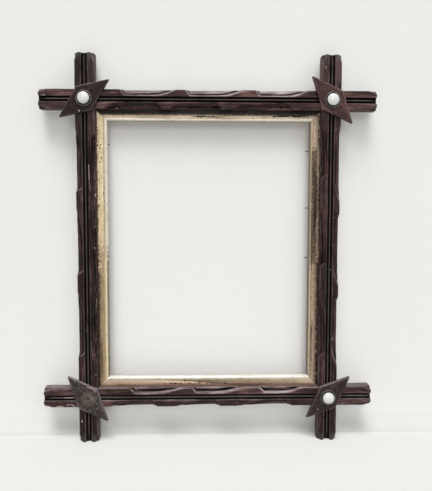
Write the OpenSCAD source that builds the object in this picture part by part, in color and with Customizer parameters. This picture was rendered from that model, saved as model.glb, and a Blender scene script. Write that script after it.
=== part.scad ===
// Cross-corner carved wooden picture frame with a gilt slip, lozenge corner
// plates and porcelain buttons.
// Millimetres. +X is to the right, +Z is up, and the frame faces -Y.
// The origin is the middle of the back plane, which lies against the wall.

/* [Picture opening] */
// Width of the opening inside the slip
sight_w = 244; // [180:1:400]
// Height of the opening inside the slip
sight_h = 311; // [240:1:500]

/* [Bars] */
// Width of a bar, seen from the front
bar_w = 23; // [21:0.5:30]
// Thickness of a bar from front to back
bar_t = 18; // [17:0.5:26]
// Length of the rails' arms, from the crossing's centre to the bar's end
arm_side = 54.5; // [45:0.5:80]
// Length of the stiles' upper arms, from the crossing's centre to the bar's end
arm_top = 54; // [45:0.5:80]
// Length of the stiles' lower arms, from the crossing's centre to the bar's end
arm_bottom = 55.5; // [45:0.5:80]
// Width of the thin bead in the middle of a bar's front
bead_w = 1.8; // [1:0.1:2.4]
// Set-back of the bead's crown behind the front face
bead_back = 0.6; // [0.2:0.1:1.2]
// Width of the groove at each side of the bead
groove_w = 2.5; // [1.5:0.1:3]
// Depth of the two front grooves
groove_d = 4; // [2.5:0.1:5]
// Distance from the front face to the middle of the side grooves
side_groove_at = 3.5; // [2.5:0.1:4.5]
// Width of the groove along each side of a bar
side_groove_w = 2; // [1:0.1:2.4]
// Depth of the side grooves
side_groove_d = 6.2; // [2:0.1:6.4]
// Radius of a bar's front corners
edge_r = 0.8; // [0.4:0.1:1.2]
// Wood left in front of the rebate
lip_t = 7.5; // [6:0.1:8.5]
// Clearance at each shoulder of the halved corner joints
lap_gap = 0.1; // [0.05:0.05:0.3]

/* [Edge carving] */
// Reach of an outer notch across the front face, where it is deepest
notch_front = 9; // [7:0.1:11]
// Reach of an inner notch across the front face, where it is deepest
notch_front_in = 7.5; // [5:0.1:9]
// Reach of an outer notch down the bar's side, where it is deepest
notch_side = 8; // [5:0.1:10]
// Reach of an inner notch down the bar's side, short of the slip
notch_side_in = 6; // [4:0.1:7]
// Length of a notch's steep stop, along the bar
stop_l = 7; // [4:0.5:10]

/* [Arm ends] */
// Depth of the gouged hollow at the very end of an arm
hollow_d = 5; // [3:0.1:6]
// Length of the gouged hollow
hollow_l = 11; // [8:0.5:16]
// Depth of the slanting cut that pares each front corner of an arm's end
pare_d = 3.6; // [1:0.1:5]
// Length of the pared corner, along the bar
pare_l = 11; // [8:0.5:18]
// Turn of the paring cut from the bar's side towards its front, in degrees
pare_turn = 35; // [20:1:60]

/* [Gilt slip] */
// Full width of the slip moulding
slip_w = 18; // [16:0.5:24]
// Thickness of the slip moulding
slip_t = 4.4; // [3.8:0.1:4.6]
// How far the slip runs in behind the stiles
slip_lap_side = 4.5; // [3:0.1:6]
// How far the slip runs in behind the rails
slip_lap_end = 4.5; // [2.5:0.1:5]
// Radius of the quarter round along the sight edge
slip_round = 3.4; // [2:0.1:3.6]
// Width of the sunk line beside the quarter round
quirk_w = 1; // [0.6:0.1:1.6]
// Depth of the sunk line
quirk_d = 0.8; // [0.4:0.1:1.2]
// Clearance round the slip in the rebate
slip_gap = 0.3; // [0.1:0.1:0.6]

/* [Corner plates] */
// Length of a lozenge plate from tip to tip
plate_l = 75.5; // [60:0.5:90]
// Width of a lozenge plate across its blunt corners
plate_w = 33; // [28:0.5:44]
// Thickness of a plate
plate_t = 4.5; // [3:0.1:6]
// Bevel round a plate's front edge
plate_bevel = 0.8; // [0.3:0.1:1.4]
// Length worn off each tip of a plate
plate_blunt = 1.2; // [0.5:0.1:3]

/* [Porcelain buttons] */
// Diameter of a button
button_d = 14; // [11:0.1:16]
// Height of the button's head
button_h = 4.6; // [3.6:0.1:6]
// Radius of the button's domed face
dome_r = 13; // [9:0.5:20]
// Diameter of the button's neck
neck_d = 6.4; // [5:0.1:8]
// Length of the button's neck
neck_h = 1.3; // [0.6:0.1:2.5]
// Diameter over the raised rim of the collar under a button
collar_d = 19; // [17.5:0.1:22]
// Thickness of the collar's floor
collar_t = 0.5; // [0.3:0.1:1]
// Width of the collar's raised rim
collar_rim_w = 1.1; // [0.8:0.1:1.2]
// Height of the collar's raised rim above the plate
collar_rim_h = 1.4; // [1.1:0.1:2]
// Diameter of a button's iron nail
nail_d = 2.4; // [1.6:0.1:3]
// Length of a button's nail
nail_l = 21; // [14:0.5:24]
// How far the nail reaches into the porcelain
nail_in_button = 3; // [2:0.1:4]

/* [Small fixings] */
// Diameter of the nail in each corner joint
lap_nail_d = 1.6; // [1.2:0.1:2]
// Length of the nail in each corner joint
lap_nail_l = 12; // [10.5:0.1:12.4]
// Distance of a corner nail from the joint's centre, each way
lap_nail_off = 5; // [4:0.1:6]
// Head diameter of a corner nail
lap_nail_head_d = 3.4; // [2.6:0.1:4]
// Head thickness of a corner nail
lap_nail_head_t = 0.8; // [0.4:0.1:1.2]
// Diameter of a headless pin through the slip
pin_d = 1.2; // [0.8:0.1:1.6]
// How far a slip pin is driven into the bar
pin_drive = 2.4; // [1.6:0.1:2.6]
// Diameter of a glazing brad
brad_d = 1.1; // [0.8:0.1:1.4]
// How far a glazing brad is driven into the bar
brad_drive = 10; // [6:0.5:14]
// Distance from the back plane to a brad's centre line
brad_depth = 1.2; // [0.8:0.1:1.6]
// Clearance of a nail, pin, brad or screw in its hole
hole_gap = 0.05; // [0.02:0.01:0.1]

/* [Hanger] */
// Radius of the hanging ring's centre line
ring_r = 9.5; // [7:0.1:13]
// Diameter of the ring's wire
ring_wire_d = 2; // [1.4:0.1:2.6]
// Width of the hanger's strap
strap_w = 8; // [7:0.1:10]
// Thickness of the strap's sheet brass
strap_t = 0.8; // [0.6:0.1:1]
// Length of the strap's flat below the knuckle's centre
strap_l = 13; // [12:0.1:14]
// Distance from the top of the rail down to the knuckle's centre
knuckle_drop = 3.5; // [2.5:0.1:4.5]
// Free play of the ring in the knuckle
ring_play = 0.15; // [0.1:0.05:0.3]
// Clearance of the knuckle behind the rail
knuckle_gap = 0.05; // [0.02:0.01:0.2]
// Shank diameter of the strap's screws
screw_d = 2.2; // [1.6:0.1:2.6]
// Head diameter of the strap's countersunk screws
screw_head_d = 3.8; // [3:0.1:4.4]
// Length of the strap's screws
screw_l = 8; // [6:0.5:10]
// Distance between the strap's two screws
screw_pitch = 4.8; // [4.5:0.1:5.4]
// Distance from the strap's lower end to the lower screw
screw_edge = 3.2; // [2.8:0.1:3.6]

/* [Hidden] */
$fn = 64;
// Overshoot of a cutting solid past the face it cuts
eps = 1;
// How much shallower a notch's straight part is than the curve that ends it,
// so that the two cuts cross cleanly
ease = 0.02;
// The stiles' and rails' centre lines follow from the opening and the slip
span_w = sight_w + 2 * (slip_w - slip_lap_side) + bar_w;
span_h = sight_h + 2 * (slip_w - slip_lap_end) + bar_w;
// Reach of the bars from the frame's middle
rail_reach = span_w / 2 + arm_side;
stile_up = span_h / 2 + arm_top;
stile_down = span_h / 2 + arm_bottom;
// Clear length of a bar between the two bars that cross it
rail_run = span_w - bar_w;
stile_run = span_h - bar_w;
slip_out_w = sight_w + 2 * slip_w;
slip_out_h = sight_h + 2 * slip_w;
rebate_d = bar_t - lip_t;
slip_back_y = slip_t - rebate_d;
front_y = -bar_t;
plate_front_y = front_y - plate_t;
// Left, right, bottom and top as signs of X and Z
LEFT = -1;
RIGHT = 1;
DOWN = -1;
UP = 1;
// Long axis of each plate, in degrees above the horizontal, seen from the front
turn_tl = 36.8;
turn_tr = -48.6;
turn_bl = -49.1;
turn_br = 43.8;
// How far each plate's blunt corners lean from square to its long axis
skew_tl = -4.5;
skew_tr = 0;
skew_bl = 5;
skew_br = -6;
// Edge notches, laid out by eye along each bar, in percent of its clear run
// Each is [place of the steep stop from the middle, length, share of the
// run-out that is straight, in percent]
NOTCH_LEFT_OUTER = [[20.6, 23.7, 45], [-8.9, 24.9, 45], [-38.7, 25.4, 45]];
NOTCH_LEFT_INNER = [[41.5, 31.2, 30], [8.9, 29, 30], [-21.7, 22.7, 30]];
NOTCH_RIGHT_INNER = [[25.4, 22.9, 25], [-6.3, 24.8, 25], [-39.2, 27.2, 30]];
NOTCH_RIGHT_OUTER = [[44.2, 27.6, 55], [13.5, 27, 55], [-16.6, 26.4, 55]];
NOTCH_TOP_OUTER = [[-39.3, 25.7, 45], [-10.6, 26.6, 45], [20.1, 24.5, 45]];
NOTCH_TOP_INNER = [[-20.2, 26.4, 70], [6.4, 23.7, 75], [37.4, 27.2, 65]];
NOTCH_BOTTOM_INNER = [[-36, 25.3, 35], [-8, 23.7, 40], [22.8, 21, 40]];
NOTCH_BOTTOM_OUTER = [[-23, 24, 15], [5.7, 21.8, 15], [38.2, 26.1, 15]];
// Slip pins, between the notches, in percent of the bars' clear runs
PINS_LEFT = [44.5, -46.5];
PINS_RIGHT = [22, -44];
PINS_TOP = [-19, 41];
PINS_BOTTOM = [-40, 20];
// Glazing brads that are left: [side, height in percent of the opening's
// height from its middle, how far the tip shows past the slip in percent of
// the driven length, tilt]
BRADS = [
    [RIGHT, 39, 30, 0],
    [RIGHT, 16.7, 26, 0],
    [RIGHT, -2.2, 34, 5],
    [LEFT, 41.3, 14, 0]
];

// Colours
WOOD = "#3c2a2b";
GILT = "#cdbb98";
PORCELAIN = "#eeeeea";
IRON = "#2b2724";
BRASS = "#8f7438";

// A cylinder along Y, from y0 towards the back
module along_y(d, y0, length) {
    translate([0, y0, 0]) rotate([-90, 0, 0]) cylinder(d = d, h = length);
}

// Puts its child at one crossing of the bars
module at_crossing(side, end) {
    translate([side * span_w / 2, 0, end * span_h / 2]) children();
}

// Bars
// A bar stands along Z with its front towards -Y. bar_section is its end view,
// with X across the bar and Y from front to back.
module bar_section() {
    well_w = 2 * groove_w + bead_w;
    difference() {
        union() {
            translate([-bar_w / 2, front_y + edge_r]) square([bar_w, bar_t - edge_r]);
            translate([-bar_w / 2 + edge_r, front_y]) square([bar_w - 2 * edge_r, bar_t]);
            for (side = [LEFT, RIGHT])
                translate([side * (bar_w / 2 - edge_r), front_y + edge_r]) circle(r = edge_r);
        }
        translate([-well_w / 2, front_y - eps])
            square([well_w, groove_d - groove_w / 2 + eps]);
        for (side = [LEFT, RIGHT]) {
            translate([side * (bead_w + groove_w) / 2, front_y + groove_d - groove_w / 2])
                circle(d = groove_w);
            translate([side * bar_w / 2, front_y + side_groove_at])
                side_groove_section();
        }
    }
    translate([-bead_w / 2, front_y + bead_back + bead_w / 2])
        square([bead_w, groove_d - bead_back - bead_w / 2]);
    translate([0, front_y + bead_back + bead_w / 2]) circle(d = bead_w);
}

// Round-bottomed side groove, drawn both ways from the bar's side
module side_groove_section() {
    straight = side_groove_d - side_groove_w / 2;
    square([2 * straight, side_groove_w], center = true);
    for (side = [LEFT, RIGHT])
        translate([side * straight, 0]) circle(d = side_groove_w);
}

// One notch of the edge carving: a long run-out, straight and then curved, that
// ends in a steep stop. It is cut slantwise over the front corner of the bar.
module notch(side, direction, stop, length, straight, across, down) {
    slant = sqrt(pow(across, 2) + pow(down, 2));
    depth = across * down / slant;
    flat_l = (length - stop_l) * straight / 100;
    curve_l = length - stop_l - flat_l;
    sweep_r = (pow(curve_l, 2) + pow(depth, 2)) / (2 * depth);
    lean = atan2(stop_l, depth);
    reach = 2 * slant;
    translate([side * bar_w / 2, front_y, stop])
        mirror([side == LEFT ? 1 : 0, 0, 0])
            mirror([0, 0, direction == DOWN ? 1 : 0])
                rotate([0, 0, -atan2(across, down)])
                    intersection() {
                        union() {
                            translate([sweep_r - depth, 0, stop_l + flat_l])
                                rotate([90, 0, 0])
                                    cylinder(r = sweep_r, h = reach, center = true, $fn = 256);
                            translate([ease - depth, -reach / 2, 0])
                                cube([reach, reach, stop_l + flat_l]);
                        }
                        rotate([0, lean, 0])
                            translate([-2 * length, -reach, 0])
                                cube([2 * length + reach, 2 * reach, 2 * length]);
                    }
}

// A row of notches along one edge of a bar
module notches(side, direction, row, across, down, run) {
    for (entry = row)
        notch(side, direction, run * entry[0] / 100, run * entry[1] / 100, entry[2],
              across, down);
}

// Gouged hollow and pared corners at both ends of a bar, which reaches from
// down_l below the frame's middle to up_l above it
module end_carving(down_l, up_l) {
    hollow_side = 4 * hollow_d;
    for (end = [[DOWN, down_l], [UP, up_l]])
        mirror([0, 0, end[0] == DOWN ? 1 : 0]) {
            translate([0, front_y, end[1] - hollow_l])
                rotate([-atan2(hollow_d, hollow_l), 0, 0])
                    translate([0, -hollow_side / sqrt(2), 0])
                        rotate([0, 0, 45])
                            cube([hollow_side, hollow_side, 4 * hollow_l], center = true);
            for (side = [LEFT, RIGHT])
                translate([side * bar_w / 2, front_y, end[1] - pare_l])
                    mirror([side == LEFT ? 1 : 0, 0, 0])
                        rotate([0, 0, -pare_turn])
                            rotate([0, -atan2(pare_d, pare_l), 0])
                                translate([bar_w / 2, 0, 0])
                                    cube([bar_w, 4 * bar_t, 4 * pare_l], center = true);
        }
}

// A moulded and carved bar, before it is jointed. rows is a list of
// [side, direction, row of notches, reach across the front, reach down the side].
module carved_bar(down_l, up_l, run, rows) {
    difference() {
        translate([0, 0, -down_l]) linear_extrude(height = down_l + up_l) bar_section();
        for (r = rows) notches(r[0], r[1], r[2], r[3], r[4], run);
        end_carving(down_l, up_l);
    }
}

// Half of a halved corner joint: the block that is cut away at both crossings
module lap_cut(spacing, y0) {
    for (end = [DOWN, UP])
        translate([0, y0 + bar_t / 4, end * spacing / 2])
            cube([bar_w + 2 * eps, bar_t / 2, bar_w + 2 * lap_gap], center = true);
}

// Room behind the lips for the slip, the glass and the backboard
module rebate() {
    translate([0, -rebate_d / 2 + eps / 2, 0])
        cube([slip_out_w + 2 * slip_gap, rebate_d + eps, slip_out_h + 2 * slip_gap],
             center = true);
}

module stile(side, rows) {
    color(WOOD)
        difference() {
            translate([side * span_w / 2, 0, 0])
                difference() {
                    carved_bar(stile_down, stile_up, stile_run, rows);
                    translate([0, -eps, 0]) lap_cut(span_h, front_y);
                    lap_cut(span_h, front_y);
                }
            rebate();
            fixing_holes();
        }
}

module rail(end, rows) {
    color(WOOD)
        difference() {
            translate([0, 0, end * span_h / 2])
                rotate([0, 90, 0])
                    difference() {
                        carved_bar(rail_reach, rail_reach, rail_run, rows);
                        translate([0, eps, 0]) lap_cut(span_w, -bar_t / 2);
                        lap_cut(span_w, -bar_t / 2);
                    }
            rebate();
            fixing_holes();
        }
}

module left_stile() {
    stile(LEFT, [[LEFT, UP, NOTCH_LEFT_OUTER, notch_front, notch_side],
                 [RIGHT, DOWN, NOTCH_LEFT_INNER, notch_front_in, notch_side_in]]);
}

module right_stile() {
    stile(RIGHT, [[LEFT, UP, NOTCH_RIGHT_INNER, notch_front_in, notch_side_in],
                  [RIGHT, DOWN, NOTCH_RIGHT_OUTER, notch_front, notch_side]]);
}

// A rail lies with its local +Z to the right and its local +X downwards
module top_rail() {
    rail(UP, [[LEFT, UP, NOTCH_TOP_OUTER, notch_front, notch_side],
              [RIGHT, DOWN, NOTCH_TOP_INNER, notch_front_in, notch_side_in]]);
}

module bottom_rail() {
    rail(DOWN, [[LEFT, UP, NOTCH_BOTTOM_INNER, notch_front_in, notch_side_in],
                [RIGHT, DOWN, NOTCH_BOTTOM_OUTER, notch_front, notch_side]]);
}

// Gilt slip
// End view, with the lapped edge at x = 0 and the sight edge at x = slip_w
module slip_section() {
    flat_w = slip_w - slip_round - quirk_w;
    translate([0, -slip_t]) square([flat_w, slip_t]);
    translate([0, -slip_t + quirk_d]) square([slip_w - slip_round, slip_t - quirk_d]);
    translate([slip_w - slip_round, -slip_t + slip_round])
        square([slip_round, slip_t - slip_round]);
    intersection() {
        translate([slip_w - slip_round, -slip_t + slip_round]) circle(r = slip_round);
        translate([slip_w - slip_round, -slip_t]) square([slip_round, slip_t]);
    }
}

// One mitred length of slip, standing along Z with its back at y = 0
module slip_length(outer_l) {
    intersection() {
        linear_extrude(height = outer_l, center = true) slip_section();
        rotate([90, 0, 0])
            linear_extrude(height = 4 * slip_t, center = true)
                polygon([
                    [0, -outer_l / 2],
                    [slip_w, slip_w - outer_l / 2],
                    [slip_w, outer_l / 2 - slip_w],
                    [0, outer_l / 2]
                ]);
    }
}

module slip_side(side) {
    color(GILT)
        difference() {
            mirror([side == RIGHT ? 1 : 0, 0, 0])
                translate([-slip_out_w / 2, slip_back_y, 0]) slip_length(slip_out_h);
            pin_shanks(hole_gap);
        }
}

module slip_end(end) {
    color(GILT)
        difference() {
            mirror([0, 0, end == DOWN ? 1 : 0])
                translate([0, slip_back_y, slip_out_h / 2])
                    rotate([0, 90, 0]) slip_length(slip_out_w);
            pin_shanks(hole_gap);
        }
}

// Corner plates
// The four corners of a lozenge lying along X
function lozenge(skew) = [
    [plate_l / 2, 0],
    [plate_w / 2 * cos(90 + skew), plate_w / 2 * sin(90 + skew)],
    [-plate_l / 2, 0],
    [-plate_w / 2 * cos(90 + skew), -plate_w / 2 * sin(90 + skew)]
];

// A plate in its own plane, with its back at z = 0 and its front at z = plate_t
module plate_body(skew) {
    points = lozenge(skew);
    difference() {
        linear_extrude(height = plate_t)
            intersection() {
                polygon(points);
                square([plate_l - 2 * plate_blunt, plate_w], center = true);
            }
        for (i = [0:3]) {
            p = points[i];
            q = points[(i + 1) % 4];
            translate([(p[0] + q[0]) / 2, (p[1] + q[1]) / 2, plate_t])
                rotate([0, 0, atan2(q[1] - p[1], q[0] - p[0])])
                    rotate([45, 0, 0])
                        cube([plate_l, plate_bevel * sqrt(2), plate_bevel * sqrt(2)],
                             center = true);
        }
    }
}

module corner_plate(side, end, turn, skew) {
    color(WOOD)
        difference() {
            at_crossing(side, end)
                translate([0, front_y, 0])
                    rotate([90, 0, 0]) rotate([0, 0, turn]) plate_body(skew);
            button_shanks(hole_gap);
            empty_nail_hole();
        }
}

// Porcelain buttons
// Collar, button and nail stand on a plate, drawn as turned profiles with
// x the radius and y the height above the plate
module turned(side, end) {
    at_crossing(side, end)
        translate([0, plate_front_y, 0]) rotate([90, 0, 0]) rotate_extrude() children();
}

module button_collar(side, end) {
    color(IRON)
        difference() {
            turned(side, end) {
                square([collar_d / 2 - collar_rim_w / 2, collar_t]);
                translate([collar_d / 2 - collar_rim_w, 0])
                    square([collar_rim_w, collar_rim_h - collar_rim_w / 2]);
                translate([collar_d / 2 - collar_rim_w / 2, collar_rim_h - collar_rim_w / 2])
                    circle(d = collar_rim_w);
            }
            button_shanks(hole_gap);
        }
}

module button(side, end) {
    head_y = collar_t + neck_h;
    color(PORCELAIN)
        difference() {
            turned(side, end) {
                translate([0, collar_t]) square([neck_d / 2, neck_h + eps]);
                intersection() {
                    translate([0, head_y + button_h - dome_r]) circle(r = dome_r);
                    translate([0, head_y]) square([button_d / 2, button_h]);
                }
            }
            button_shanks(hole_gap);
        }
}

// Nails, pins, brads and screws
// Each is drawn once, with a radius that can be enlarged by gap, so that the
// same solid also bores its hole
module button_shank(side, end, gap) {
    at_crossing(side, end)
        along_y(nail_d + 2 * gap, plate_front_y - collar_t - neck_h - nail_in_button - gap,
                nail_l + 2 * gap);
}

module button_shanks(gap) {
    button_shank(LEFT, UP, gap);
    button_shank(RIGHT, UP, gap);
    button_shank(RIGHT, DOWN, gap);
}

// The bottom left button is lost, and its nail hole is open
module empty_nail_hole() {
    hole_l = nail_l - nail_in_button - neck_h - collar_t;
    at_crossing(LEFT, DOWN)
        along_y(nail_d + 2 * hole_gap, plate_front_y - eps, hole_l + eps);
}

// Corner nails are driven from the back and lie flush with it
module lap_nail_shanks(gap) {
    for (side = [LEFT, RIGHT])
        for (end = [DOWN, UP])
            translate([side * lap_nail_off, 0, end * lap_nail_off])
                at_crossing(side, end) {
                    along_y(lap_nail_d + 2 * gap, -lap_nail_l - gap, lap_nail_l + gap);
                    along_y(lap_nail_head_d + 2 * gap, -lap_nail_head_t - gap,
                            lap_nail_head_t + gap);
                }
}

// Slip pins are driven from behind, flush with the back of the slip
module pin_shanks(gap) {
    length = slip_t + pin_drive + gap;
    y0 = slip_back_y - length;
    for (row = [[LEFT, PINS_LEFT], [RIGHT, PINS_RIGHT]])
        for (place = row[1])
            translate([row[0] * (slip_out_w - slip_lap_side) / 2, 0,
                       stile_run * place / 100])
                along_y(pin_d + 2 * gap, y0, length);
    for (row = [[UP, PINS_TOP], [DOWN, PINS_BOTTOM]])
        for (place = row[1])
            translate([rail_run * place / 100, 0,
                       row[0] * (slip_out_h - slip_lap_end) / 2])
                along_y(pin_d + 2 * gap, y0, length);
}

// Glazing brads are driven sideways into the stiles, and their tips show in
// the opening
module brad_shanks(gap) {
    for (b = BRADS) {
        root = slip_out_w / 2 + slip_gap + brad_drive;
        length = root - sight_w / 2 + brad_drive * b[2] / 100;
        translate([b[0] * root, -brad_depth, sight_h * b[1] / 100])
            rotate([0, -b[0] * (90 + b[3]), 0])
                translate([0, 0, -gap]) cylinder(d = brad_d + 2 * gap, h = length + gap);
    }
}

// Countersunk screws of the hanger's strap
module screw_shanks(gap) {
    for (i = [0:1])
        translate([0, 0, strap_bottom_z + screw_edge + i * screw_pitch]) {
            along_y(screw_d + 2 * gap, strap_t - screw_l - gap, screw_l + gap);
            translate([0, strap_t, 0])
                rotate([90, 0, 0])
                    cylinder(d1 = screw_head_d + 2 * gap, d2 = screw_d + 2 * gap,
                             h = strap_t);
        }
}

module fixing_holes() {
    button_shanks(hole_gap);
    empty_nail_hole();
    lap_nail_shanks(hole_gap);
    pin_shanks(hole_gap);
    brad_shanks(hole_gap);
    screw_shanks(hole_gap);
}

// Hanger
// The ring's wire bows a little in the straight knuckle, and the hinge line
// halves that bow
knuckle_bow = ring_r - sqrt(pow(ring_r, 2) - pow(strap_w / 2, 2));
knuckle_bore_r = ring_wire_d / 2 + knuckle_bow / 2 + ring_play;
knuckle_r = knuckle_bore_r + strap_t;
knuckle_y = knuckle_r + knuckle_gap;
knuckle_z = (span_h + bar_w) / 2 - knuckle_drop;
strap_bottom_z = knuckle_z - strap_l;

module hanger_strap() {
    color(BRASS)
        difference() {
            union() {
                translate([-strap_w / 2, 0, strap_bottom_z])
                    cube([strap_w, strap_t, strap_l]);
                translate([-strap_w / 2, knuckle_y, knuckle_z])
                    rotate([0, 90, 0]) cylinder(r = knuckle_r, h = strap_w);
            }
            translate([-strap_w / 2 - eps, knuckle_y, knuckle_z])
                rotate([0, 90, 0]) cylinder(r = knuckle_bore_r, h = strap_w + 2 * eps);
            screw_shanks(hole_gap);
        }
}

module hanger_ring() {
    color(BRASS)
        translate([0, knuckle_y, knuckle_z - ring_r + knuckle_bow / 2])
            rotate([90, 0, 0])
                rotate_extrude() translate([ring_r, 0]) circle(d = ring_wire_d);
}

left_stile();
right_stile();
top_rail();
bottom_rail();
slip_side(LEFT);  // slip_left
slip_side(RIGHT);  // slip_right
slip_end(UP);  // slip_top
slip_end(DOWN);  // slip_bottom
corner_plate(LEFT, UP, turn_tl, skew_tl);  // corner_plate_top_left
corner_plate(RIGHT, UP, turn_tr, skew_tr);  // corner_plate_top_right
corner_plate(LEFT, DOWN, turn_bl, skew_bl);  // corner_plate_bottom_left
corner_plate(RIGHT, DOWN, turn_br, skew_br);  // corner_plate_bottom_right
button_collar(LEFT, UP);  // button_collar_top_left
button_collar(RIGHT, UP);  // button_collar_top_right
button_collar(RIGHT, DOWN);  // button_collar_bottom_right
button(LEFT, UP);  // button_top_left
button(RIGHT, UP);  // button_top_right
button(RIGHT, DOWN);  // button_bottom_right
color(IRON) button_shank(LEFT, UP, 0);  // button_nail_top_left
color(IRON) button_shank(RIGHT, UP, 0);  // button_nail_top_right
color(IRON) button_shank(RIGHT, DOWN, 0);  // button_nail_bottom_right
color(IRON) lap_nail_shanks(0);  // lap_nails
color(IRON) pin_shanks(0);  // slip_pins
color(IRON) brad_shanks(0);  // glazing_brads
hanger_strap();
color(BRASS) screw_shanks(0);  // hanger_screws
hanger_ring();
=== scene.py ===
# Cross-corner carved frame with a gilt slip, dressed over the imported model
# Metres. +X is to the right, +Z is up, and the frame faces -Y.
import math

import bpy
import numpy as np
from mathutils import Matrix, Vector


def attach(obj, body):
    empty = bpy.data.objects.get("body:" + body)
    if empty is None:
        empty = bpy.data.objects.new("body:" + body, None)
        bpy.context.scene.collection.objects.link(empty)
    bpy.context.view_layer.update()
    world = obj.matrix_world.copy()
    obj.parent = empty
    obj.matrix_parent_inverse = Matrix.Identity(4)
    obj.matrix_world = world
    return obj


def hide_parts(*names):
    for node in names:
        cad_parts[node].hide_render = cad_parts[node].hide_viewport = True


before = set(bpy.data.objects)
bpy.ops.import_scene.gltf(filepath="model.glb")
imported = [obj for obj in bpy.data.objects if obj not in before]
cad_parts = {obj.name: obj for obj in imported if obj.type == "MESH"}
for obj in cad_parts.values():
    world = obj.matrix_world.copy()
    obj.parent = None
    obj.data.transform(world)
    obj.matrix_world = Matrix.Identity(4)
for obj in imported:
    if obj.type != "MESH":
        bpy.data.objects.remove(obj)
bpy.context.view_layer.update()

MM = 0.001
# Places of the frame's parts, as in the part's source
SIGHT_X = 122 * MM
SIGHT_Z = 155.5 * MM
STILE_X = 147 * MM
RAIL_Z = 180.5 * MM
CORNERS = {"top_left": (-STILE_X, RAIL_Z), "top_right": (STILE_X, RAIL_Z),
           "bottom_left": (-STILE_X, -RAIL_Z), "bottom_right": (STILE_X, -RAIL_Z)}
BAR_FRONT = -18 * MM
PLATE_FRONT = -22.5 * MM
SLIP_FRONT = -10.5 * MM
FLOOR_Z = -236.2 * MM
# How far from the middle of a bar the gouged hollows of its ends begin
STILE_END = 224 * MM
RAIL_END = 190 * MM


# Shader writing

class Tone:
    """One output of a finish's nodes. Sums and products of tones add Math nodes."""

    def __init__(self, finish, socket):
        self.finish = finish
        self.socket = socket

    def math(self, operation, *others):
        sockets = dict(enumerate((self,) + others))
        return self.finish.node("ShaderNodeMath", {"operation": operation}, sockets)

    def __add__(self, other):
        return self.math("ADD", other)

    __radd__ = __add__

    def __mul__(self, other):
        return self.math("MULTIPLY", other)

    __rmul__ = __mul__

    def __sub__(self, other):
        return self.math("SUBTRACT", other)

    def __rsub__(self, other):
        return self * -1 + other

    def __truediv__(self, other):
        return self.math("DIVIDE", other)

    def __rtruediv__(self, other):
        return self.math("POWER", -1) * other

    def size(self):
        return self.math("ABSOLUTE")

    def most(self, other):
        return self.math("MAXIMUM", other)

    def least(self, other):
        return self.math("MINIMUM", other)

    def step(self, low, high):
        """0 below low, 1 above high and smooth between; high may be the smaller."""
        return self.finish.node(
            "ShaderNodeMapRange", {"interpolation_type": "SMOOTHSTEP"},
            {"Value": self, "From Min": low, "From Max": high})


# A Mix node's two colours and the colour that it gives, among its many sockets
MIX_UNDER, MIX_OVER, MIX_RESULT = 6, 7, 2


class Finish:
    """A material under way: a Principled shader and the nodes that feed it."""

    def __init__(self, name, **constants):
        self.material = bpy.data.materials.new(name)
        self.material.use_nodes = True
        self.tree = self.material.node_tree
        self.shader = self.tree.nodes["Principled BSDF"]
        for socket, value in constants.items():
            self.shader.inputs[socket.replace("_", " ")].default_value = value

    def node(self, kind, settings=None, sockets=None, out=0):
        node = self.tree.nodes.new(kind)
        for name, value in (settings or {}).items():
            if name == "stops":
                ramp = node.color_ramp
                for _ in range(len(value) - 2):
                    ramp.elements.new(0.5)
                for element, (place, colour) in zip(ramp.elements, value):
                    element.position = place
                    element.color = colour + (1,)
            else:
                setattr(node, name, value)
        for name, value in (sockets or {}).items():
            self.put(node.inputs[name], value)
        return Tone(self, node.outputs[out])

    def put(self, socket, value):
        if isinstance(value, Tone):
            self.tree.links.new(value.socket, socket)
        elif socket.type == "RGBA" and len(value) == 3:
            socket.default_value = tuple(value) + (1,)
        else:
            socket.default_value = value

    def place(self):
        return self.node("ShaderNodeTexCoord", out="Object")

    def axes(self, vector):
        parts = self.node("ShaderNodeSeparateXYZ", None, {0: vector})
        outputs = parts.socket.node.outputs
        return [Tone(self, outputs[i]) for i in range(3)]

    def vector(self, x, y, z):
        return self.node("ShaderNodeCombineXYZ", None, {0: x, 1: y, 2: z})

    def cloud(self, vector, scale, detail, roughness, distortion=0.0):
        return self.node("ShaderNodeTexNoise", None, {
            "Vector": vector, "Scale": scale, "Detail": detail,
            "Roughness": roughness, "Distortion": distortion})

    def cracks(self, vector, scale):
        """The distance from the nearest line in a net of cracks."""
        return self.node("ShaderNodeTexVoronoi", {"feature": "DISTANCE_TO_EDGE"},
                         {"Vector": vector, "Scale": scale}, "Distance")

    def noted(self, name):
        """A number kept on the piece's vertices."""
        return self.node("ShaderNodeAttribute", {"attribute_name": name}, out="Fac")

    def mix(self, amount, under, over, blend="MIX"):
        """Colour under, covered by colour over as far as amount says."""
        node = self.node("ShaderNodeMix", {"data_type": "RGBA", "blend_type": blend},
                         {"Factor": amount}).socket.node
        self.put(node.inputs[MIX_UNDER], under)
        self.put(node.inputs[MIX_OVER], over)
        return Tone(self, node.outputs[MIX_RESULT])

    def ramp(self, amount, *stops):
        return self.node("ShaderNodeValToRGB", {"stops": stops}, {0: amount})

    def done(self, colour, roughness, height=None, bump=None, **others):
        """Joins the finish's results to the shader. bump is the depth in metres that
        a height of 1 stands for."""
        self.put(self.shader.inputs["Base Color"], colour)
        self.put(self.shader.inputs["Roughness"], roughness)
        for name, value in others.items():
            self.put(self.shader.inputs[name.replace("_", " ")], value)
        if height is not None:
            relief = self.node("ShaderNodeBump", None, {
                "Height": height, "Distance": bump, "Strength": 1.0}, out="Normal")
            self.put(self.shader.inputs["Normal"], relief)
        return self.material


def greatest(tones):
    """The greatest of one or more tones, at each place."""
    most, *others = tones
    for tone in others:
        most = most.most(tone)
    return most


# Bench work on the meshes

def pick(piece):
    """Selects one piece only and makes it active."""
    bpy.ops.object.select_all(action="DESELECT")
    piece.select_set(True)
    bpy.context.view_layer.objects.active = piece


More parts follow.
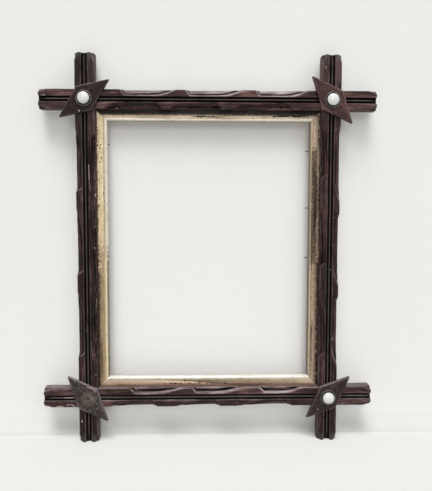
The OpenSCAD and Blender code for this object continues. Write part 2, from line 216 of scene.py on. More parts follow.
def edit(piece, select="DESELECT"):
    pick(piece)
    bpy.ops.object.mode_set(mode="EDIT")
    bpy.ops.mesh.select_mode(type="VERT")
    bpy.ops.mesh.select_all(action=select)


def leave():
    bpy.ops.object.mode_set(mode="OBJECT")


def stock(node, name):
    """A merged copy of a CAD node, to be worked on."""
    piece = bpy.data.objects.new(name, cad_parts[node].data.copy())
    bpy.context.scene.collection.objects.link(piece)
    piece.data.materials.clear()
    edit(piece, "SELECT")
    bpy.ops.mesh.remove_doubles(threshold=1e-6)
    leave()
    return piece


def work(piece, kind, **settings):
    """Puts one modifier on a piece and applies it."""
    pick(piece)
    tool = piece.modifiers.new(kind.lower(), kind)
    for name, value in settings.items():
        setattr(tool, name, value)
    bpy.ops.object.modifier_apply(modifier=tool.name)


def shade(piece, degrees=None):
    pick(piece)
    if degrees is None:
        bpy.ops.object.shade_smooth()
    else:
        bpy.ops.object.shade_smooth_by_angle(angle=math.radians(degrees))


def unevenness(name, size, depth):
    """A cloud texture that pushes a surface in and out."""
    texture = bpy.data.textures.new(name, "CLOUDS")
    texture.noise_scale = size
    texture.noise_depth = depth
    return texture


HAND_WAVE = unevenness("hand_wave", 14 * MM, 1)
TOOL_MARK = unevenness("tool_mark", 2.6 * MM, 2)


def work_by_hand(piece, voxel, wave, mark, most_triangles):
    """Rounds a piece's arrises and gives its faces the slight waves of hand work."""
    work(piece, "REMESH", mode="VOXEL", voxel_size=voxel, use_smooth_shade=True)
    work(piece, "SMOOTH", factor=0.5, iterations=1)
    for texture, strength in ((HAND_WAVE, wave), (TOOL_MARK, mark)):
        work(piece, "DISPLACE", texture=texture, texture_coords="LOCAL",
             strength=strength, mid_level=0.5)
    triangles = sum(len(face.vertices) - 2 for face in piece.data.polygons)
    if triangles > most_triangles:
        work(piece, "DECIMATE", ratio=most_triangles / triangles)
    shade(piece)


def column(data, key, width):
    """One row of width numbers for each vertex or edge of a mesh."""
    values = np.empty(len(data) * width)
    data.foreach_get(key, values)
    return values.reshape(-1, width)


def note(piece, name, values):
    """Keeps one number for each vertex of a piece, for its finish to read."""
    layer = piece.data.attributes.new(name, "FLOAT", "POINT")
    layer.data.foreach_set("value", values.astype(np.float32))


# How deep a scuff is pressed into the wood
SCUFF_DEPTH = 0.22 * MM


def note_wear(piece, marks):
    """Notes what the finish of a worked piece reads at each vertex. The arris is how
    proud it stands, and the hollow how deep it lies, both in millimetres. The settled
    value is how far its face looks up, with a little for the right, towards the light,
    where the finish paints dust and a painted sheen, and cut is how far it turns away
    from the front. The scuff comes from marks, lines (x0, z0, x1, z1, width, strength)
    in millimetres, seen from the front and pressed a little into the wood."""
    mesh = piece.data
    places = column(mesh.vertices, "co", 3)
    normals = column(mesh.vertices, "normal", 3)
    ends = column(mesh.edges, "vertices", 2).astype(int)
    heads = np.concatenate((ends[:, 0], ends[:, 1]))
    tails = np.concatenate((ends[:, 1], ends[:, 0]))
    count = len(places)
    ways = np.maximum(np.bincount(heads, minlength=count), 1)

    def spread(values):
        """The mean of each vertex's neighbours."""
        return np.bincount(heads, weights=values[tails], minlength=count) / ways

    def proud(rounds, calm):
        """Height above the surface as it is after some rounds of smoothing."""
        soft = places.copy()
        for _ in range(rounds):
            soft = np.stack([spread(soft[:, axis]) for axis in range(3)], axis=1)
        height = ((places - soft) * normals).sum(axis=1) / MM
        for _ in range(calm):
            height = 0.5 * height + 0.5 * spread(height)
        return height

    note(piece, "arris", proud(rounds=3, calm=1))
    note(piece, "hollow", -proud(rounds=24, calm=2))
    note(piece, "settled", normals[:, 2] + 0.35 * normals[:, 0])
    note(piece, "cut", 1 + normals[:, 1])
    # Scuffs lie on the faces that look to the front, and fade out past their width
    scuff = np.zeros(count)
    facing = np.clip(-normals[:, 1] * 1.6, 0, 1)
    for x0, z0, x1, z1, width, strength in marks:
        start = np.array([x0, z0]) * MM
        way = np.array([x1, z1]) * MM - start
        from_start = places[:, [0, 2]] - start
        along = np.clip(from_start @ way / max(way @ way, 1e-12), 0, 1)
        gap = np.linalg.norm(from_start - along[:, None] * way, axis=1) / (width * MM / 2)
        scuff = np.maximum(scuff, strength * np.clip(1.5 - gap, 0, 1) * facing)
    note(piece, "scuff", scuff)
    pressed = places - normals * (SCUFF_DEPTH * np.minimum(scuff, 1))[:, None]
    mesh.vertices.foreach_set("co", pressed.ravel())
    mesh.update()


def added(operator, name, **settings):
    """Adds a primitive that alone is selected and has its place in its mesh."""
    bpy.ops.object.select_all(action="DESELECT")
    operator(**settings)
    piece = bpy.context.object
    piece.name = name
    bpy.ops.object.transform_apply(location=True, rotation=True, scale=True)
    return piece


# Turns what points up to point to the front
TO_THE_FRONT = (math.radians(90), 0, 0)


def turned(name, centre, profile):
    """A turned piece that stands on a plate at centre (x, z). profile lists (radius,
    height above the plate) in millimetres, from the rim at its foot to the crown."""
    (radius, height), rest = profile[0], profile[1:]
    piece = added(bpy.ops.mesh.primitive_circle_add, name, vertices=96,
                  radius=radius * MM, fill_type="NGON", rotation=TO_THE_FRONT,
                  location=(centre[0], PLATE_FRONT - height * MM, centre[1]))
    edit(piece, "SELECT")
    for next_radius, next_height in rest:
        bpy.ops.mesh.extrude_region_move(
            TRANSFORM_OT_translate={"value": (0, (height - next_height) * MM, 0)})
        ratio = next_radius / radius
        bpy.ops.transform.resize(
            value=(ratio, 1, ratio),
            center_override=(centre[0], PLATE_FRONT - next_height * MM, centre[1]))
        radius, height = next_radius, next_height
    bpy.ops.mesh.select_all(action="SELECT")
    bpy.ops.mesh.normals_make_consistent(inside=False)
    leave()
    shade(piece, degrees=35)
    return piece


# How wide a worm hole is at its foot and its mouth, as shares of its radius
HOLE_FOOT = 0.7
HOLE_MOUTH = 1.15


def bore(slip, holes):
    """Bores worm holes into a slip, each (x, z, radius, depth) in millimetres. The
    cutter goes through the face, with as much in front of it as behind."""
    for x, z, radius, depth in holes:
        cutter = added(bpy.ops.mesh.primitive_cone_add, "worm_hole", vertices=14,
                       radius1=radius * HOLE_FOOT * MM, radius2=radius * HOLE_MOUTH * MM,
                       depth=2 * depth * MM, rotation=TO_THE_FRONT,
                       location=(x * MM, SLIP_FRONT, z * MM))
        work(slip, "BOOLEAN", object=cutter, operation="DIFFERENCE", solver="EXACT")
        bpy.data.objects.remove(cutter, do_unlink=True)


def install(piece, finish, node):
    """Gives a piece its finish and its body, and hides the CAD node that it stands for."""
    piece.data.materials.clear()
    piece.data.materials.append(finish)
    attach(piece, "frame")
    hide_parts(node)


# Finishes

# Stained wood's colours, each row from its darkest grain to its palest
STAIN = [(0.0, (0.0050, 0.0026, 0.0024)), (0.35, (0.0150, 0.0068, 0.0060)),
         (0.65, (0.0400, 0.0190, 0.0170)), (1.0, (0.1050, 0.0620, 0.0580))]
GREY_STAIN = [(0.1, (0.024, 0.021, 0.018)), (0.45, (0.060, 0.053, 0.046)),
              (0.9, (0.130, 0.118, 0.102))]
RED_STAIN = [(0.1, (0.016, 0.0046, 0.0034)), (0.6, (0.066, 0.0185, 0.0125)),
             (1.0, (0.140, 0.058, 0.046))]
# Faces that look up: dust and bloomed varnish, and painted sheen of the light from above
BLOOM_AND_SHEEN = [(0.1, (0.130, 0.092, 0.092)), (0.55, (0.360, 0.290, 0.288)),
           (1.0, (0.560, 0.500, 0.500))]
SCARRED = [(0.30, (0.045, 0.028, 0.020)), (0.50, (0.115, 0.086, 0.068)),
           (0.75, (0.235, 0.180, 0.145))]
RAW_WOOD = [(0.1, (0.060, 0.036, 0.024)), (0.9, (0.165, 0.105, 0.070))]
# What lies on stained wood or shows through it, and the painted shade on its bead and in its
# grooves and gouges
DUST = (0.20, 0.16, 0.155)
RUBBED = (0.200, 0.155, 0.150)
CHIPPED = (0.50, 0.39, 0.36)
BEAD_SHADE = (0.034, 0.032, 0.030)
FRAYED_END = (0.082, 0.086, 0.078)
GOUGE_DIRT_AND_SHADE = (0.0030, 0.0026, 0.0024)
GROOVE_DIRT_AND_SHADE = (0.0014, 0.0010, 0.0009)

# The moulding of a bar
# Each pair of half widths says where the colour of a groove, bead or gouge ends, and
# where it is full.
GROOVE_AT = 2.15 * MM
GROOVE_HALF = (1.5 * MM, 1.15 * MM)
BEAD_HALF = (1.25 * MM, 0.95 * MM)
GOUGE_HALF = (3.7 * MM, 2.7 * MM)
SIDE_GROOVE_Y = BAR_FRONT + 3.5 * MM
SIDE_GROOVE_HALF = (1.12 * MM, 0.86 * MM)


def stained_wood(name, centre, turn, lift, bloom_and_sheen=1.0, grey=0.0, end=None, bare=None,
                 light_end=None, red=0.0, frayed=0.7, mottling=2.6, dirt=1.0):
    """Dark stain and old varnish on carved wood. turn is the grain's slope in degrees,
    seen from the front, about centre (x, z). lift is how light the stain is made, and
    between the bars it paints light too, with the rails made lighter than the stiles. bloom
    is how pale the carved faces that look up and a little right are made: dust and bloomed
    varnish, and painted sheen. grey is how grey and red how reddish the wood is. end is
    how far from the centre the gouged hollows of a moulded bar begin; a plate has none.
    bare is the radius of a scar round the centre where a collar has kept the stain off.
    light_end is the place along the grain where the stain thins, and the place where it
    is thinnest. frayed is how worn the ends of a bar are, and dirt how wide the black
    lines in its grooves, which are dirt and painted shade. mottling is how blotchy a
    plate is."""
    moulded = end is not None
    f = Finish(name, Specular_IOR_Level=0.17)
    x, y, z = f.axes(f.place())
    x, z = x - centre[0], z - centre[1]
    c, s = math.cos(math.radians(turn)), math.sin(math.radians(turn))
    along, across = x * c + z * s, z * c - x * s
    grain = f.vector(along * 0.045, y, across)
    blot = f.vector(along * 0.4, y, across)
    fibre = f.cloud(grain, 1500, 3, 0.65)
    figure = f.cloud(grain, 420, 3, 0.55, 0.5)
    patch = f.cloud(blot, 70, 3, 0.6)
    pits = f.cloud(blot, 850, 2, 0.6)
    if moulded:
        tone = (figure - 0.5) * 1.7 + (fibre - 0.5) * 1.6 + (patch - 0.5) * 1.4 + 0.42
    else:
        mottle = f.cloud(f.vector(along * 0.7, y, across), 640, 3, 0.65)
        tone = (figure - 0.5) * 0.8 + (fibre - 0.5) * 1.2 + (patch - 0.5) * 0.9 \
            + (mottle - 0.5) * mottling + 0.42
    if light_end:
        tone = tone + along.step(*light_end) * 0.32
    stain = f.ramp(tone, *((at, tuple(v * lift for v in colour)) for at, colour in STAIN))
    if grey:
        stain = f.mix(grey, stain, f.ramp(tone, *GREY_STAIN))
    if red:
        cut = f.noted("cut").step(0.10, 0.34) * (fibre * 0.6 + figure * 0.6 + 0.3)
        stain = f.mix(cut * red, stain, f.ramp(tone, *RED_STAIN))
    # Paler on the carved faces that look up and a little right: dust and bloomed varnish, and
    # painted sheen of the light from there
    pale = f.noted("settled").step(0.30, 0.68) * (fibre * 0.7 + patch * 1.1 - 0.03)
    stain = f.mix(pale * (0.9 * bloom_and_sheen), stain, f.ramp(tone, *BLOOM_AND_SHEEN))
    dusty = pits.step(0.60, 0.74) * patch.step(0.35, 0.6)
    stain = f.mix(dusty * 0.35, stain, DUST)
    arris = f.noted("arris")
    edge = arris.step(0.03, 0.13) if moulded else arris.step(0.012, 0.07)
    rubbed = (edge * (fibre * 0.8 + patch * 1.2 - 0.35)).step(0.12, 0.8)
    stain = f.mix(rubbed * (0.5 if moulded else 0.8), stain, RUBBED)
    # Near black in hollows and grooves: dirt and painted shade
    dirt_and_shade = f.noted("hollow").step(0.28, 0.85)
    if moulded:
        groove = (across.size() - GROOVE_AT).size() \
            .step(*(half * dirt for half in GROOVE_HALF)) \
            * y.step(BAR_FRONT + 0.5 * MM, BAR_FRONT + 1.1 * MM) \
            * y.step(BAR_FRONT + 8 * MM, BAR_FRONT + 6 * MM)
        side_groove = (y - SIDE_GROOVE_Y).size().step(*SIDE_GROOVE_HALF) \
            * across.size().step(5.0 * MM, 5.6 * MM)
        dirt_and_shade = greatest([dirt_and_shade, groove, side_groove])
        # Near black in the gouged hollows at a bar's ends: dirt and painted shade
        gouge = along.size().step(end + 1.0 * MM, end + 4.5 * MM) \
            * (across.size() + (pits - 0.5) * (1.5 * MM)).step(*GOUGE_HALF)
        # The bead between the front grooves is darkened: painted shade
        bead = across.size().step(*BEAD_HALF) \
            * y.step(BAR_FRONT + 3.5 * MM, BAR_FRONT + 2.5 * MM) * (1 - gouge)
        stain = f.mix(bead * 0.55, stain, BEAD_SHADE)
        worn_end = along.size().step(end, end + 7 * MM) \
            * (fibre * 1.2 + patch * 1.6 - 0.95).step(0.0, 0.9)
        stain = f.mix(worn_end * frayed, stain, FRAYED_END)
        stain = f.mix(gouge * (0.94 - pits * 0.5), stain, GOUGE_DIRT_AND_SHADE)
    stain = f.mix(dirt_and_shade * 0.96, stain, GROOVE_DIRT_AND_SHADE)
    chipped = (f.noted("scuff") * (pits + 0.5)).step(0.35, 0.75)
    stain = f.mix(chipped, stain, CHIPPED)
    rough = 0.37 + patch * 0.16 + dirt_and_shade * 0.45 + chipped * 0.3 + pale * 0.1
    height = fibre * 0.35 + figure * 0.4 + pits * 0.25
    if bare:
        ring = (x * x + z * z).math("SQRT") / bare
        worn = f.cloud(blot, 420, 3, 0.6)
        scar = (ring + (worn - 0.5) * 0.9).step(1.08, 0.80)
        stain = f.mix(scar * 0.85, stain, f.ramp(worn, *SCARRED))
        rough = rough.most(scar * 0.7)
    # The back was never stained or varnished
    raw = (y + (figure - 0.5) * (3 * MM)).step(-2.2 * MM, -0.7 * MM)
    stain = f.mix(raw, stain, f.ramp(tone, *RAW_WOOD))
    rough = rough.most(raw * 0.75)
    return f.done(stain, rough, height, 0.28 * MM)


def porcelain(name):
    """White glaze, slightly clouded, with fine cracks and specks of dirt in it."""
    f = Finish(name, IOR=1.5, Coat_Roughness=0.04)
    place = f.place()
    cloud = f.cloud(place, 210, 3, 0.55)
    craze = f.cracks(place, 520).step(0.05, 0.0)
    specks = f.cloud(place, 1500, 1, 0.5).step(0.68, 0.76)
    glaze = f.ramp(cloud, (0.3, (0.74, 0.735, 0.71)), (0.7, (0.84, 0.84, 0.825)))
    dirt = (craze * 0.16 + specks * 0.35) * cloud.step(0.35, 0.65)
    glaze = f.mix(dirt, glaze, (0.30, 0.27, 0.23))
    return f.done(glaze, 0.14 + dirt * 0.5, cloud - craze * 0.1, 0.05 * MM, Coat_Weight=0.3)


def collar_metal(name):
    """Tin gone dark, still bright along the crown of its rim."""
    f = Finish(name)
    place = f.place()
    _, y, _ = f.axes(place)
    cloud = f.cloud(place, 600, 3, 0.6)
    bright = (y + (cloud - 0.5) * (0.3 * MM)) \
        .step(PLATE_FRONT - 1.18 * MM, PLATE_FRONT - 1.34 * MM)
    tint = f.ramp(cloud, (0.3, (0.017, 0.015, 0.013)), (0.7, (0.046, 0.042, 0.037)))
    tint = f.mix(bright * (cloud * 1.6 - 0.15), tint, (0.27, 0.26, 0.235))
    return f.done(tint, 0.62 - bright * 0.22, cloud, 0.08 * MM, Metallic=0.2 + bright * 0.5)


def old_iron(name):
    """Nearly black iron with rust in patches."""
    f = Finish(name)
    cloud = f.cloud(f.place(), 900, 4, 0.65)
    rust = cloud.step(0.48, 0.62)
    tint = f.mix(rust, (0.012, 0.011, 0.010), (0.050, 0.025, 0.013))
    return f.done(tint, 0.6 + rust * 0.3, cloud, 0.12 * MM, Metallic=0.3 - rust * 0.2)


def old_brass(name):
    """Brass that has kept its colour here and there."""
    f = Finish(name)
    place = f.place()
    cloud = f.cloud(place, 260, 4, 0.6)
    fine = f.cloud(place, 1800, 2, 0.5)
    dull = (cloud + (fine - 0.5) * 0.25).step(0.42, 0.62)
    tint = f.mix(dull, (0.56, 0.40, 0.16), (0.17, 0.115, 0.055))
    return f.done(tint, 0.30 + dull * 0.35, fine * 0.4 + cloud, 0.06 * MM,
                  Metallic=0.95 - dull * 0.35)


# The slip's colours where its gilding is stained, worn or gone, and the painted shade inside its
# worm holes
SHADE = [(0.32, (0.50, 0.45, 0.38)), (0.47, (0.86, 0.84, 0.80)), (0.56, (1.0, 1.0, 1.0))]
UNDERCOAT = [(0.30, (0.040, 0.026, 0.017)), (0.55, (0.115, 0.078, 0.052)),
             (0.75, (0.260, 0.195, 0.135))]
SOFTWOOD = [(0.3, (0.24, 0.155, 0.085)), (0.7, (0.40, 0.28, 0.165))]
SPECK = (0.085, 0.055, 0.033)
DIRTY_STAIN = (0.050, 0.033, 0.022)
CHIP = (0.010, 0.007, 0.005)
WORM_HOLE_SHADE = (0.010, 0.006, 0.004)
# How far out from the sight edge its bands of colour reach, in millimetres
BAND_SPAN = 15
# How softly a damaged stretch of it ends
STRETCH_EDGE = 1.8 * MM


def worn_gilding(name, upright, bands, others=None, where=(), flecked=1.3, areas=()):
    """Pale gilding on a moulded slip, rubbed through to brown, with painted highlight on
    its beads, and dark next to the bars with dirt and, by the top rail and the right
    stile, painted shadow of their lips.
    An upright slip runs up the side of the opening, and another along its top or foot.
    bands are its colours, as (millimetres outward from the sight edge, colour).
    others are its colours in a second state, and where lists the pairs of heights
    between which the first state turns into the second. flecked is how far the two
    states break up into flecks. areas are damaged stretches
    (x0, z0, x1, z1, kind, strength) in millimetres, chipped or stained."""
    f = Finish(name, Specular_IOR_Level=0.2)
    place = f.place()
    x, y, z = f.axes(place)
    out = (x.size() - SIGHT_X).most(z.size() - SIGHT_Z)
    along, across = (z, x) if upright else (x, z)
    fine = f.cloud(place, 1500, 3, 0.65)
    blots = f.cloud(place, 360, 4, 0.62, 0.4)
    broad = f.cloud(place, 60, 3, 0.55)
    brush = f.cloud(f.vector(across, y, along * 0.08), 900, 3, 0.6)
    flecks = f.cloud(f.vector(across, y, along * 0.45), 700, 3, 0.62)
    on_bead = out.step(3.75 * MM, 3.3 * MM)
    ragged = (blots - 0.5) * 3.0 + (flecks - 0.5) * 4.0
    reach = (out / MM + ragged * out.step(3.6 * MM, 9 * MM)) / BAND_SPAN

    def state(bands):
        return f.ramp(reach, *((outward / BAND_SPAN, colour) for outward, colour in bands))

    gilding = state(bands)
    if others:
        second = greatest([(z + (broad - 0.5) * (25 * MM)).step(start * MM, end * MM)
                           for start, end in where])
        # Flecks of each state are left in the other
        second = (second * 0.58 + 0.21 + (flecks - 0.5) * flecked).step(0.40, 0.60)
        gilding = f.mix(second, gilding, state(others))
    shade_of = f.ramp(broad * 0.3 + brush * 0.35 + fine * 0.35, *SHADE)
    # The bead keeps only half the tone variation, so it stays paler: painted highlight along the
    # bead
    skin = f.mix(1 - on_bead * 0.5, gilding, shade_of, "MULTIPLY")

    damage = {"chipped": [], "stained": []}
    for x0, z0, x1, z1, kind, strength in areas:
        beside = (x - (x0 + x1) / 2 * MM).size() - abs(x1 - x0) / 2 * MM
        above = (z - (z0 + z1) / 2 * MM).size() - abs(z1 - z0) / 2 * MM
        # The stretch fades out slowly along the length
        gap = beside.most(above * 0.1) if upright else above.most(beside * 0.1)
        area = (gap + (blots - 0.5) * (2.2 * STRETCH_EDGE)) \
            .step(STRETCH_EDGE * 0.6, -STRETCH_EDGE * 0.6)
        damage[kind].append(area * strength)

    worn = (blots * 0.50 + fine * 0.32 + brush * 0.18 - (0.66 + on_bead * 0.08)) \
        .step(-0.035, 0.035)
    skin = f.mix(worn * 0.85, skin, f.ramp(fine * 0.6 + blots * 0.4, *UNDERCOAT))
    specks = (fine * 0.55 + blots * 0.45).step(0.575, 0.61)
    skin = f.mix(specks * 0.75, skin, SPECK)
    height = blots * 0.4 + fine * 0.3 - worn * 0.5
    if damage["stained"]:
        stains = greatest(damage["stained"]) * (brush * 0.9 + blots * 0.6)
        skin = f.mix(stains, skin, DIRTY_STAIN)
    if damage["chipped"]:
        chips = (greatest(damage["chipped"]) * 0.36 + flecks * 0.9 - 0.80).step(-0.01, 0.03)
        skin = f.mix(chips, skin, CHIP)
        height = height - chips
    # Painted shade inside the worm holes
    holes = (y - SLIP_FRONT).step(0.25 * MM, 0.7 * MM) * out.step(4.7 * MM, 5.1 * MM)
    skin = f.mix(holes, skin, WORM_HOLE_SHADE)
    # The back and the outer edge are plain softwood
    raw = y.step(SLIP_FRONT + 3.1 * MM, SLIP_FRONT + 3.9 * MM) \
        * out.step(0.2 * MM, 0.9 * MM)
    skin = f.mix(raw, skin, f.ramp(brush, *SOFTWOOD))
    rough = 0.36 + worn * 0.25 + specks * 0.15 + broad * 0.12 + raw * 0.2
    return f.done(skin, rough, height, 0.16 * MM, Metallic=(1 - worn) * (1 - raw) * 0.12)


PAPER = (0.885, 0.885, 0.865)
PAPER_SHADE = (0.2, 0.2, 0.19)


def pale_paper(name, see_through):
    """Seamless paper, a little darker where it curves up from the floor, and a little
    lighter where it lies level. Seen directly it glows slightly, as paper in a bright
    room does. Its back may be see-through, so that it hides nothing from behind."""
    def lighter(share):
        return tuple(v * share for v in PAPER)

    f = Finish(name)
    place = f.place()
    cloud = f.cloud(place, 3.0, 3, 0.5) * 0.8 + f.cloud(place, 60, 3, 0.5) * 0.2
    _, _, z = f.axes(place)
    above_floor = z - FLOOR_Z
    curved = above_floor.step(0.1 * MM, 1.1 * MM) * above_floor.step(25 * MM, 7 * MM)
    level = above_floor.step(0.7 * MM, 0.25 * MM)
    tint = f.ramp(cloud, (0.3, lighter(0.985)), (0.7, PAPER))
    tint = f.mix(curved * 0.23, tint, PAPER_SHADE)
    tint = f.mix(level, tint, lighter(1.055))
    f.done(tint, 0.9)
    rays = f.node("ShaderNodeLightPath").socket.node
    seen = Tone(f, rays.outputs["Is Camera Ray"]) + Tone(f, rays.outputs["Is Glossy Ray"]) \
        + Tone(f, rays.outputs["Is Transmission Ray"])
    glow = f.node("ShaderNodeEmission", None, {"Color": lighter(0.92), "Strength": 1.0})
    sheet = f.node("ShaderNodeMixShader", None,
                   {0: seen.least(1.0) * 0.08, 1: Tone(f, f.shader.outputs[0]), 2: glow})
    if see_through:
        behind = f.node("ShaderNodeNewGeometry", out="Backfacing")
        clear = f.node("ShaderNodeBsdfTransparent")
        sheet = f.node("ShaderNodeMixShader", None, {0: behind, 1: sheet, 2: clear})
    f.tree.links.new(sheet.socket, f.tree.nodes["Material Output"].inputs["Surface"])
    return f.material


# Carved bars
# Scuffs seen on the bars' fronts are lines (x0, z0, x1, z1, width, strength).
SCUFFS = {
    "left_stile": [
        (-135.9, 68.5, -136.0, 65.5, 1.6, 1.0), (-137.2, 61.5, -137.4, 59.0, 1.0, 0.7),
        (-135.6, -58.0, -135.4, -64.0, 1.0, 0.8), (-135.4, -64.0, -136.6, -70.0, 0.8, 0.6),
        (-142.9, 103.0, -142.6, 86.0, 0.9, 0.75), (-142.6, 86.0, -141.2, 72.0, 0.9, 0.6),
        (-137.9, 3.7, -137.9, 3.0, 1.4, 0.8), (-136.2, 30.0, -139.5, 21.5, 0.9, 0.6),
        (-148.5, -88.0, -148.7, -100.0, 0.8, 0.55), (-144.0, -86.0, -143.8, -112.0, 0.8, 0.5),
        (-137.6, -151.5, -137.6, -152.0, 1.5, 0.9), (-133.9, -162.8, -133.9, -163.4, 1.5, 0.9),
        (-141.5, -126.5, -138.5, -127.5, 0.8, 0.6), (-151.0, 126.0, -151.4, 96.0, 0.7, 0.5),
        (-155.5, -209.0, -155.0, -210.5, 1.6, 0.7), (-150.6, 74.0, -150.9, 60.0, 0.7, 0.5),
    ],
    "right_stile": [
        (151.8, 7.3, 151.8, 6.5, 1.3, 0.8), (149.6, -23.3, 149.6, -24.0, 1.3, 0.8),
        (153.2, -108.0, 153.2, -111.0, 1.6, 0.7), (140.4, 84.0, 140.4, 83.2, 1.2, 0.6),
        (139.0, 73.0, 139.0, 72.0, 1.2, 0.5), (152.4, 36.0, 152.2, 35.0, 1.2, 0.6),
        (134.8, -37.0, 134.6, -38.5, 1.3, 0.6), (139.0, -65.6, 139.0, -66.2, 1.2, 0.6),
        (139.3, 221.0, 139.6, 217.0, 0.9, 0.7), (148.0, -9.0, 147.8, -30.0, 0.6, 0.4),
    ],
    "top_rail": [
        (-110.0, 170.8, -109.5, 169.8, 1.2, 0.8), (-197.5, 184.0, -193.5, 184.6, 1.0, 0.9),
        (-192.0, 170.0, -190.0, 169.6, 1.0, 0.5), (-76.0, 187.6, -40.0, 186.6, 0.7, 0.45),
        (182.0, 185.5, 188.0, 185.6, 1.0, 0.5),
    ],
    "bottom_rail": [
        (-176.0, -180.4, -166.0, -180.2, 0.9, 0.8), (-175.0, -189.8, -170.0, -188.5, 1.1, 0.9),
        (-186.0, -191.0, -178.0, -190.5, 1.2, 0.9), (-168.0, -188.5, -163.0, -191.0, 1.0, 0.9),
        (34.0, -186.6, 34.6, -187.2, 1.2, 0.8), (-90.0, -172.0, -72.0, -177.0, 0.8, 0.6),
    ],
}
# The rails' stain is made about twice as light as the stiles': painted light, as the same stain
# looks lighter on the rails under light from above
BAR_FINISH = {
    "left_stile": stained_wood(
        "stained_wood_left", (-STILE_X, 0), 90, lift=0.95, bloom_and_sheen=0.7, red=0.35,
        end=STILE_END),
    "right_stile": stained_wood(
        "stained_wood_right", (STILE_X, 0), 90, lift=1.1, bloom_and_sheen=0.8, red=0.85,
        end=STILE_END, light_end=(194 * MM, 206 * MM)),
    "top_rail": stained_wood(
        "stained_wood_top", (0, RAIL_Z), 0, lift=2.5, bloom_and_sheen=1.12, red=0.95,
        end=RAIL_END, frayed=0.3, dirt=1.24),
    "bottom_rail": stained_wood(
        "stained_wood_bottom", (0, -RAIL_Z), 0, lift=2.0, bloom_and_sheen=0.9, red=0.5,
        end=RAIL_END, frayed=0.3),
}
for bar, finish in BAR_FINISH.items():
    carved = stock(bar, "carved_" + bar)
    work_by_hand(carved, voxel=0.45 * MM, wave=0.45 * MM, mark=0.14 * MM,
                 most_triangles=180000)
    note_wear(carved, SCUFFS[bar])
    install(carved, finish, bar)

# Lozenge plates
# Each has the slope of its long diagonal in degrees, its finish and its scuffs.
PLATES = {
    "top_left": (36.8, dict(lift=0.92, bloom_and_sheen=0.5, mottling=1.7), [
        (-152.6, 166.2, -152.4, 165.4, 1.5, 1.0)]),
    "top_right": (-48.6, dict(lift=3.6, bloom_and_sheen=0.6, mottling=1.3), [
        (133.5, 173.0, 136.5, 168.0, 0.8, 0.7), (146.0, 192.5, 152.0, 190.0, 0.7, 0.5)]),
    "bottom_left": (-49.1, dict(lift=2.3, grey=0.75, bare=9.0 * MM), [
        (-147.6, -165.6, -144.0, -166.6, 1.0, 0.9), (-143.6, -166.4, -140.4, -167.6, 1.0, 0.8),
        (-140.4, -167.6, -137.2, -171.5, 1.0, 0.8), (-161.0, -184.0, -158.2, -191.0, 0.8, 0.9),
        (-157.5, -191.8, -147.0, -197.4, 0.6, 0.8), (-144.0, -199.0, -142.0, -200.0, 0.9, 0.8)]),
    "bottom_right": (43.8, dict(lift=1.25, grey=0.25, bloom_and_sheen=0.6, mottling=1.9), [
        (134.2, -195.6, 134.6, -196.0, 1.4, 0.7), (129.0, -202.5, 128.0, -204.0, 0.8, 0.5)]),
}
for corner, (turn, look, marks) in PLATES.items():
    plate = stock("corner_plate_" + corner, "lozenge_plate_" + corner)
    work_by_hand(plate, voxel=0.36 * MM, wave=0.35 * MM, mark=0.14 * MM,
                 most_triangles=60000)
    note_wear(plate, marks)
    wood = stained_wood("plate_wood_" + corner, CORNERS[corner], turn, **look)
    install(plate, wood, "corner_plate_" + corner)

